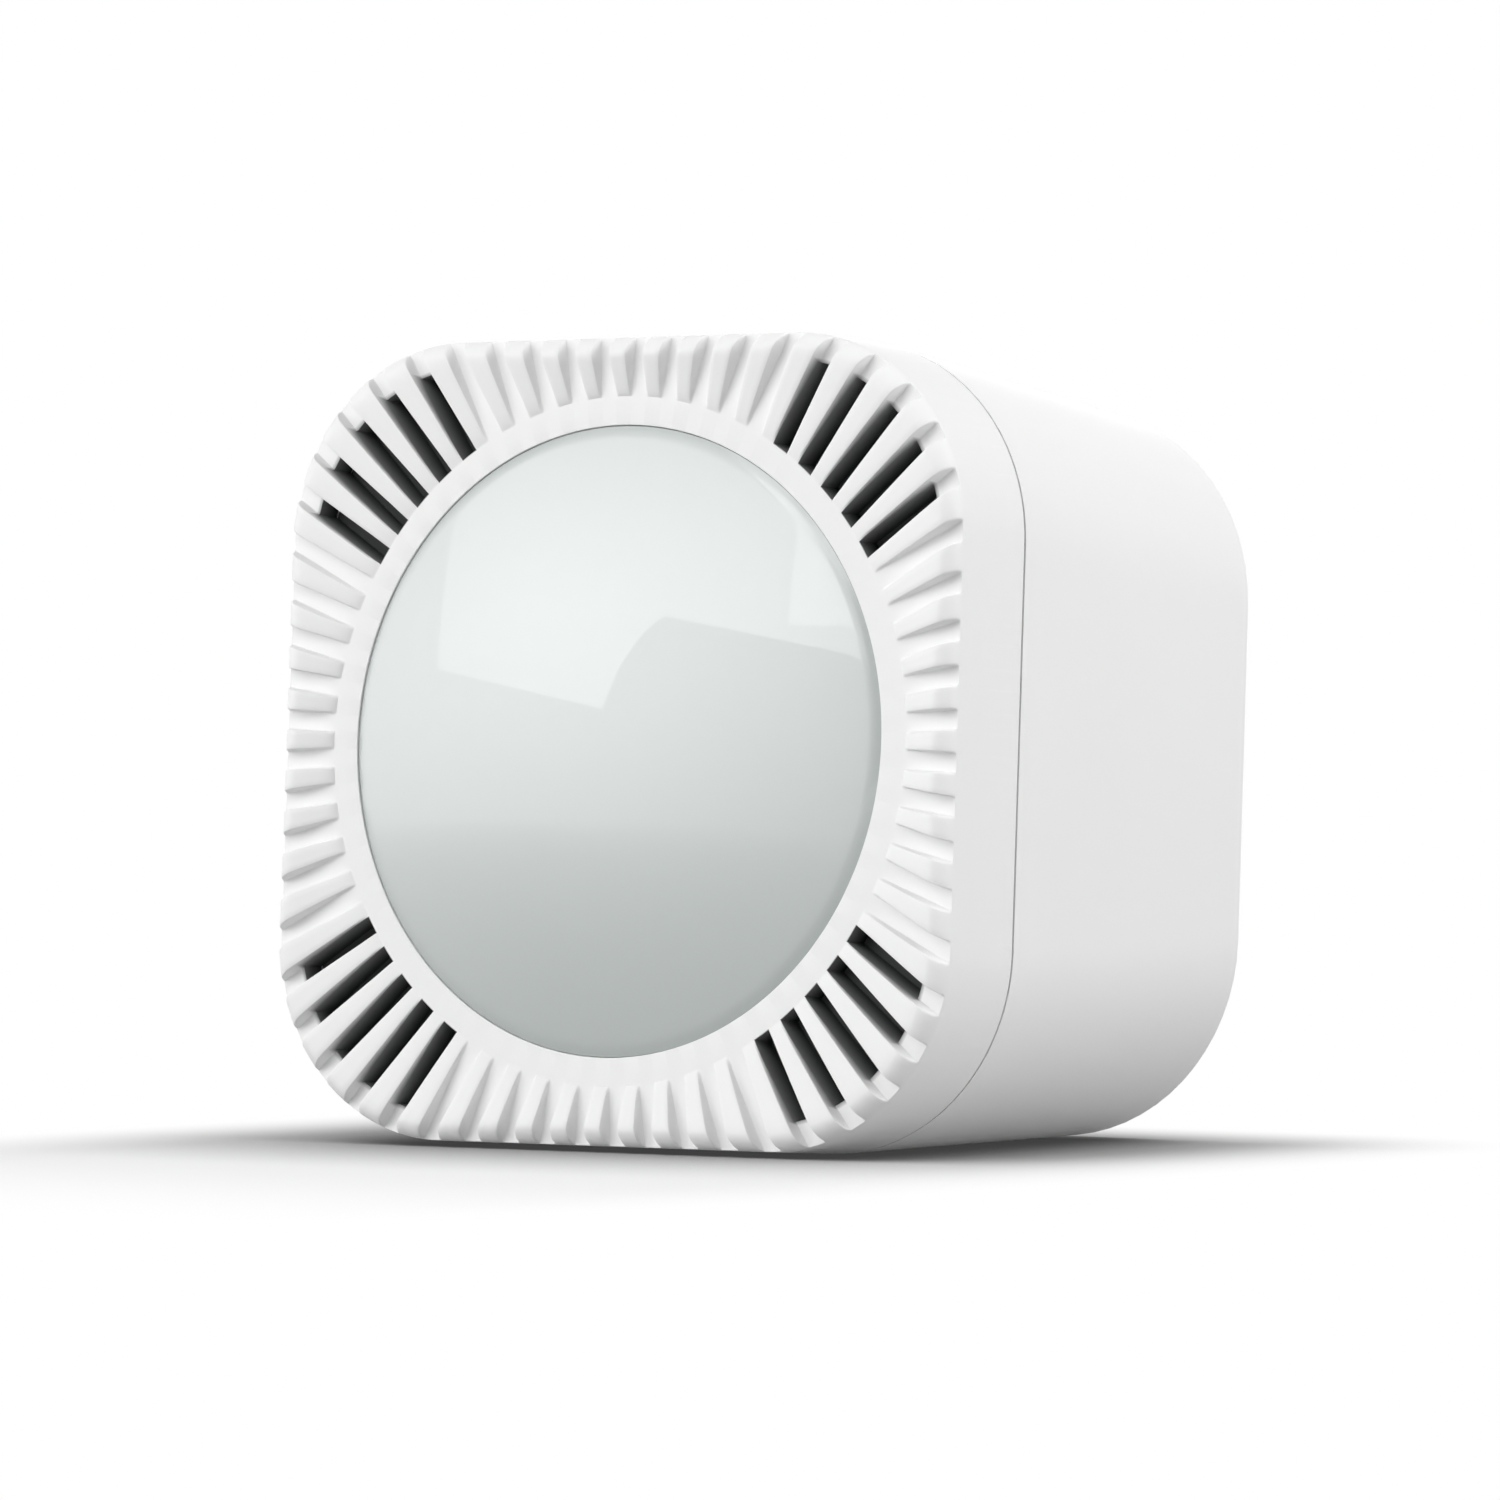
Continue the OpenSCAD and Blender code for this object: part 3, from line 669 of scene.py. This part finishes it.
# %% The finishes
finishes = {
    "housing_white": moulded_plastic("housing white", (0.86, 0.86, 0.86), HOUSING_WHITE),
    "plate_white": moulded_plastic("plate white", (0.84, 0.84, 0.83), (0.86, 0.86, 0.85), 0.55),
    "lens_milky": milky_plastic("milky lens plastic"),
    "dark_plastic": moulded_plastic("dark plastic", (0.03, 0.03, 0.032), (0.04, 0.04, 0.042)),
    "foam_black": moulded_plastic("black foam", (0.02, 0.02, 0.02), (0.05, 0.05, 0.05), 0.9, 6e-5),
    "screen_grey": moulded_plastic("grey screen", (0.045, 0.05, 0.048), (0.06, 0.065, 0.062), 0.8),
    "board_green": moulded_plastic("board green", (0.01, 0.09, 0.04), (0.015, 0.12, 0.055), 0.3),
    "screw_steel": drawn_metal("zinc plated steel", (0.6, 0.6, 0.62), (0.7, 0.7, 0.71)),
    "can_nickel": drawn_metal("nickel plated can", (0.62, 0.6, 0.56), (0.7, 0.68, 0.64), 0.25),
    "window_dark": moulded_plastic("dark window", (0.01, 0.01, 0.012), (0.02, 0.02, 0.022), 0.2),
    "spacer_plastic": moulded_plastic("natural nylon", (0.7, 0.68, 0.6), (0.76, 0.74, 0.66)),
    "led_amber": moulded_plastic("amber diode", (0.8, 0.6, 0.2), (0.9, 0.7, 0.3), 0.2),
    "chip_black": moulded_plastic("chip resin", (0.012, 0.012, 0.013), (0.02, 0.02, 0.021), 0.6),
    "shield_tin": drawn_metal("tinned shield", (0.6, 0.61, 0.62), (0.68, 0.69, 0.7), 0.35),
    "contact_nickel": drawn_metal("contact nickel", (0.66, 0.63, 0.56), (0.74, 0.7, 0.62), 0.3),
    "capacitor_aluminium": drawn_metal("aluminium can", (0.7, 0.7, 0.71), (0.78, 0.78, 0.79), 0.35),
    "battery_sleeve": moulded_plastic("battery sleeve", (0.75, 0.33, 0.04), (0.8, 0.37, 0.06), 0.3),
    "button_grey": moulded_plastic("button grey", (0.42, 0.43, 0.44), (0.46, 0.47, 0.48), 0.5),
}

own_finish = {
    # The front frame's plastic has shade painted into its vents.
    "ribbed_front_frame": plastic_with_painted_vent_shade("vented white with painted shade", (0.035, 0.042, 0.04)),
}

record_slots = {m["slot"]: m.get("nodes", []) for m in frame["record"]["materials"]}
print("slots:", sorted(record_slots))


def finish_everything():
    """Gives each piece the finish of its slot, and each CAD node that of the record's."""
    for obj in list(bpy.data.objects):
        if obj.type != "MESH":
            continue
        if "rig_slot" in obj:
            obj.data.materials.clear()
            obj.data.materials.append(own_finish.get(obj.name, finishes[obj["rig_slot"]]))
    for name, node in frame["nodes"].items():
        for k, slot in enumerate(node.material_slots):
            found = slot.material.name.split(".")[0] if slot.material else None
            if found in finishes:
                slot.material = finishes[found]


finish_everything()

# %% [markdown]
# ## The camera
#
# A long lens from far away keeps the sides nearly parallel. The camera stands to the right of
# the front, and looks slightly up and aslant because the sensor leans back on its tapered
# foot.

# %% Camera
camera_data = bpy.data.cameras.new("camera")
camera_data.sensor_width = 36
camera_data.lens = 192.36
camera_data.clip_end = 20
camera = bpy.data.objects.new("camera", camera_data)
bpy.context.scene.collection.objects.link(camera)
aim = Matrix.Rotation(math.radians(33.435), 4, "Z")
aim = aim @ Matrix.Rotation(math.radians(92.546), 4, "X")
aim = aim @ Matrix.Rotation(math.radians(1.83), 4, "Z")
camera.matrix_world = Matrix.Translation((0.31279, -0.47662, 0.00306)) @ aim
bpy.context.scene.camera = camera

# %% [markdown]
# ## The studio
#
# The sensor stands on the straight part of its front frame and leans back until the tapered
# shell touches too, so the floor slopes by that taper.

# %% Floor
FOOT_Y = WALL_Y - SEAM
TAPER = 1.7 * MM
lean_back = math.atan2(TAPER, SEAM)
FLOOR_HALF = 1.2
FLOOR_WHITE = 0.9
FLOOR_BOUNCE = 0.43
MIRRORED_WHITE = 2.4
# Reach and strength of the contact shade painted into the floor's colour near the sensor.
PAINTED_SHADE_REACH = 0.03
PAINTED_SHADE_POWER = 1.5
FRONT_SHARE = 0.25


def floor_sheet():
    """A square sheet that passes through the foot line and rises towards the back."""
    mesh = bpy.data.meshes.new("floor")
    slope = math.tan(lean_back)
    corners = [
        [x, FOOT_Y + y, y * slope - 0.02 * MM]
        for x, y in [
            (-FLOOR_HALF, -FLOOR_HALF),
            (FLOOR_HALF, -FLOOR_HALF),
            (FLOOR_HALF, FLOOR_HALF),
            (-FLOOR_HALF, FLOOR_HALF),
        ]
    ]
    mesh.from_pydata(corners, [], [(0, 1, 2, 3)])
    obj = bpy.data.objects.new("floor", mesh)
    bpy.context.scene.collection.objects.link(obj)
    return obj


floor = floor_sheet()


def floor_paint():
    """White matt paint that catches the shadow near the sensor; besides, an occlusion node paints
    a contact shade into its colour, deepest where the two almost touch. Further out it fades
    into the backdrop's plain white for the camera and for mirrorings, so that no horizon shows."""
    material, tree, shader = new_material("floor paint")
    tree.nodes.remove(shader)

    def distance_fade(length, near, far, low):
        fade = tree.nodes.new("ShaderNodeMapRange")
        fade.interpolation_type = "SMOOTHSTEP"
        fade.inputs["From Min"].default_value = near
        fade.inputs["From Max"].default_value = far
        fade.inputs["To Min"].default_value = low
        tree.links.new(length, fade.inputs["Value"])
        return fade.outputs["Result"]

    def blend(share, first, second):
        mix = tree.nodes.new("ShaderNodeMixShader")
        tree.links.new(share, mix.inputs[0])
        tree.links.new(first, mix.inputs[1])
        tree.links.new(second, mix.inputs[2])
        return mix.outputs[0]

    def glow(strength):
        plain = tree.nodes.new("ShaderNodeEmission")
        plain.inputs["Strength"].default_value = strength
        return plain.outputs[0]

    def chain(operation, source, constant=None):
        step = tree.nodes.new("ShaderNodeVectorMath")
        step.operation = operation
        tree.links.new(source, step.inputs[0])
        if constant is not None:
            step.inputs[1].default_value = constant
        return step.outputs["Value" if operation == "LENGTH" else "Vector"]

    place = tree.nodes.new("ShaderNodeTexCoord")
    here = place.outputs["Object"]
    before = chain("MULTIPLY", here, (0, -1, 0))
    before = chain("MAXIMUM", chain("SUBTRACT", before, (0, SEAM / 2, 0)), (0, 0, 0))
    beyond = chain("MULTIPLY", chain("ABSOLUTE", here), (1, 0, 0))
    beyond = chain("ADD", beyond, (0, -SEAM / 2, 0))
    behind = tree.nodes.new("ShaderNodeVectorMath")
    behind.operation = "ADD"
    tree.links.new(beyond, behind.inputs[0])
    tree.links.new(chain("MULTIPLY", here, (0, 1, 0)), behind.inputs[1])
    aside = chain("SUBTRACT", behind.outputs["Vector"], (BODY_HALF, 0, 0))
    aside = chain("MAXIMUM", aside, (0, 0, 0))
    total = tree.nodes.new("ShaderNodeVectorMath")
    total.operation = "ADD"
    tree.links.new(chain("MULTIPLY", before, (0, FRONT_SHARE, 0)), total.inputs[0])
    tree.links.new(aside, total.inputs[1])
    beside = chain("LENGTH", total.outputs["Vector"])
    around = chain("LENGTH", here)
    # Painted contact shade: an occlusion node darkens the floor's colour near the sensor.
    painted_contact_shade = tree.nodes.new("ShaderNodeAmbientOcclusion")
    painted_contact_shade.inputs["Distance"].default_value = PAINTED_SHADE_REACH
    matt = tree.nodes.new("ShaderNodeBsdfDiffuse")
    painted_shade = tree.nodes.new("ShaderNodeMath")
    painted_shade.operation = "POWER"
    painted_shade.inputs[1].default_value = PAINTED_SHADE_POWER
    tree.links.new(painted_contact_shade.outputs["AO"], painted_shade.inputs[0])
    paint = tree.nodes.new("ShaderNodeMapRange")
    paint.inputs["To Max"].default_value = FLOOR_WHITE
    tree.links.new(painted_shade.outputs[0], paint.inputs["Value"])
    tree.links.new(paint.outputs["Result"], matt.inputs["Color"])
    dim = tree.nodes.new("ShaderNodeBsdfDiffuse")
    dim.inputs["Color"].default_value = (FLOOR_BOUNCE, FLOOR_BOUNCE, FLOOR_BOUNCE, 1)
    seen = tree.nodes.new("ShaderNodeLightPath")
    for_eye = blend(distance_fade(beside, 0.0, 0.022, 0.05), matt.outputs[0], glow(1.0))
    farther = tree.nodes.new("ShaderNodeMath")
    farther.operation = "POWER"
    farther.use_clamp = True
    farther.inputs[1].default_value = 0.6
    tree.links.new(around, farther.inputs[0])
    for_gloss = blend(farther.outputs[0], dim.outputs[0], glow(MIRRORED_WHITE))
    for_bounce = blend(seen.outputs["Is Glossy Ray"], dim.outputs[0], for_gloss)
    final = blend(seen.outputs["Is Camera Ray"], for_bounce, for_eye)
    tree.links.new(final, tree.nodes["Material Output"].inputs["Surface"])
    return material


floor.data.materials.append(floor_paint())

# %% World
world = bpy.data.worlds.new("studio")
bpy.context.scene.world = world
world.use_nodes = True
tree = world.node_tree
tree.nodes.clear()
seen = tree.nodes.new("ShaderNodeLightPath")
either = tree.nodes.new("ShaderNodeMath")
either.operation = "MAXIMUM"
either2 = tree.nodes.new("ShaderNodeMath")
either2.operation = "MAXIMUM"
lit = tree.nodes.new("ShaderNodeBackground")
lit.name = "ambient"
lit.inputs["Color"].default_value = (1, 1, 1, 1)
lit.inputs["Strength"].default_value = 0.31
shown = tree.nodes.new("ShaderNodeBackground")
shown.inputs["Color"].default_value = (1, 1, 1, 1)
shown.inputs["Strength"].default_value = 1.0
mix = tree.nodes.new("ShaderNodeMixShader")
out = tree.nodes.new("ShaderNodeOutputWorld")
tree.links.new(seen.outputs["Is Camera Ray"], either.inputs[0])
tree.links.new(seen.outputs["Is Glossy Ray"], either.inputs[1])
tree.links.new(either.outputs[0], either2.inputs[0])
tree.links.new(seen.outputs["Is Transmission Ray"], either2.inputs[1])
tree.links.new(either2.outputs[0], mix.inputs[0])
tree.links.new(lit.outputs[0], mix.inputs[1])
tree.links.new(shown.outputs[0], mix.inputs[2])
tree.links.new(mix.outputs[0], out.inputs[0])


# %% Softboxes
def softbox(name, place, target, width, height, power):
    """A rectangular area lamp at a place, looking at a target, both in metres."""
    data = bpy.data.lights.new(name, "AREA")
    data.shape = "RECTANGLE"
    data.size = width
    data.size_y = height
    data.energy = power
    obj = bpy.data.objects.new(name, data)
    bpy.context.scene.collection.objects.link(obj)
    gaze = Vector(target) - Vector(place)
    turn = gaze.to_track_quat("-Z", "Y").to_matrix().to_4x4()
    obj.matrix_world = Matrix.Translation(place) @ turn
    return obj


MIDDLE = (0, 0, MIDDLE_HEIGHT)
softbox("right_top_softbox", (0.14, 0.02, 0.17), MIDDLE, 0.12, 0.12, 0.09)
softbox("front_top_softbox", (0.0, -0.3, 0.28), MIDDLE, 0.2, 0.2, 0.2)
softbox("front_softbox", (-0.1, -1.1, 0.5), MIDDLE, 0.5, 0.5, 1.1)
softbox("right_softbox", (0.9, 0.1, 0.3), MIDDLE, 0.5, 0.5, 3.6)
softbox("back_softbox", (-0.45, 1.0, 0.12), MIDDLE, 0.6, 0.6, 4.5)


# %% [markdown]
# The lens mirrors two cards of light to the left of the front, out of the camera's sight. One
# is a window with a step in its lower edge, as two softboxes side by side give. The other is a
# scrim, a sheet lit from behind, whose light fades from its middle.


# %% Cards of light
def direction(azimuth, elevation):
    """The unit vector at an azimuth, counted from the front to the right, and elevation."""
    a, e = math.radians(azimuth), math.radians(elevation)
    return np.array([math.sin(a) * math.cos(e), -math.cos(a) * math.cos(e), math.sin(e)])


def light_card(name, outline, facing, far, strength, fade=None):
    """A flat sheet square to the direction it faces from, with its corners in the given
    directions. It adds its light to what lies behind it. With a fade, (direction, radius,
    stretch), the light falls smoothly to nothing at that radius above or below a point of
    the sheet, and at that many times the radius beside it."""
    middle = direction(*facing)
    eye = np.array(MIDDLE)
    rays = [direction(*corner) for corner in outline]
    corners = [ray * far / (ray @ middle) + eye for ray in rays]
    mesh = bpy.data.meshes.new(name)
    mesh.from_pydata([tuple(c) for c in corners], [], [tuple(range(len(corners)))])
    obj = bpy.data.objects.new(name, mesh)
    bpy.context.scene.collection.objects.link(obj)
    material, tree, shader = new_material(name + " light")
    tree.nodes.remove(shader)
    glow = tree.nodes.new("ShaderNodeEmission")
    glow.inputs["Strength"].default_value = strength
    clear = tree.nodes.new("ShaderNodeBsdfTransparent")
    both = tree.nodes.new("ShaderNodeAddShader")
    tree.links.new(glow.outputs[0], both.inputs[0])
    tree.links.new(clear.outputs[0], both.inputs[1])
    tree.links.new(both.outputs[0], tree.nodes["Material Output"].inputs["Surface"])
    if fade:
        toward, radius, stretch = fade
        ray = direction(*toward)
        centre = ray * far / (ray @ middle) + eye
        place = tree.nodes.new("ShaderNodeTexCoord")
        away = tree.nodes.new("ShaderNodeVectorMath")
        away.operation = "SUBTRACT"
        away.inputs[1].default_value = centre
        flatten = tree.nodes.new("ShaderNodeVectorMath")
        flatten.operation = "MULTIPLY"
        flatten.inputs[1].default_value = (*[1 / stretch] * 2, 1.0)
        length = tree.nodes.new("ShaderNodeVectorMath")
        length.operation = "LENGTH"
        fall = tree.nodes.new("ShaderNodeMapRange")
        fall.interpolation_type = "SMOOTHSTEP"
        fall.inputs["From Min"].default_value = 0.0
        fall.inputs["From Max"].default_value = radius
        fall.inputs["To Min"].default_value = strength
        fall.inputs["To Max"].default_value = 0.0
        tree.links.new(place.outputs["Object"], away.inputs[0])
        tree.links.new(away.outputs["Vector"], flatten.inputs[0])
        tree.links.new(flatten.outputs["Vector"], length.inputs[0])
        tree.links.new(length.outputs["Value"], fall.inputs["Value"])
        tree.links.new(fall.outputs["Result"], glow.inputs["Strength"])
    mesh.materials.append(material)
    obj.visible_camera = False
    return obj


WINDOW = [
    (-50.7, 7.0),
    (-33.2, 4.7),
    (-31.9, 7.6),
    (-30.3, 9.9),
    (-28.2, 11.5),
    (-6.0, 8.4),
    (-4.0, 52.0),
    (-60.0, 52.0),
]
SCRIM = [(-100.0, -22.0), (8.0, -22.0), (8.0, 40.0), (-100.0, 40.0)]
light_card("window_card", WINDOW, (-33, 25), 0.8, 2.2, fade=((-18, 7), 0.8, 1.3))
light_card("scrim_card", SCRIM, (-46, 8), 1.75, 2.6, fade=((-40, 5), 0.97, 2.4))

# %% Look
bpy.context.scene.view_settings.view_transform = "Standard"
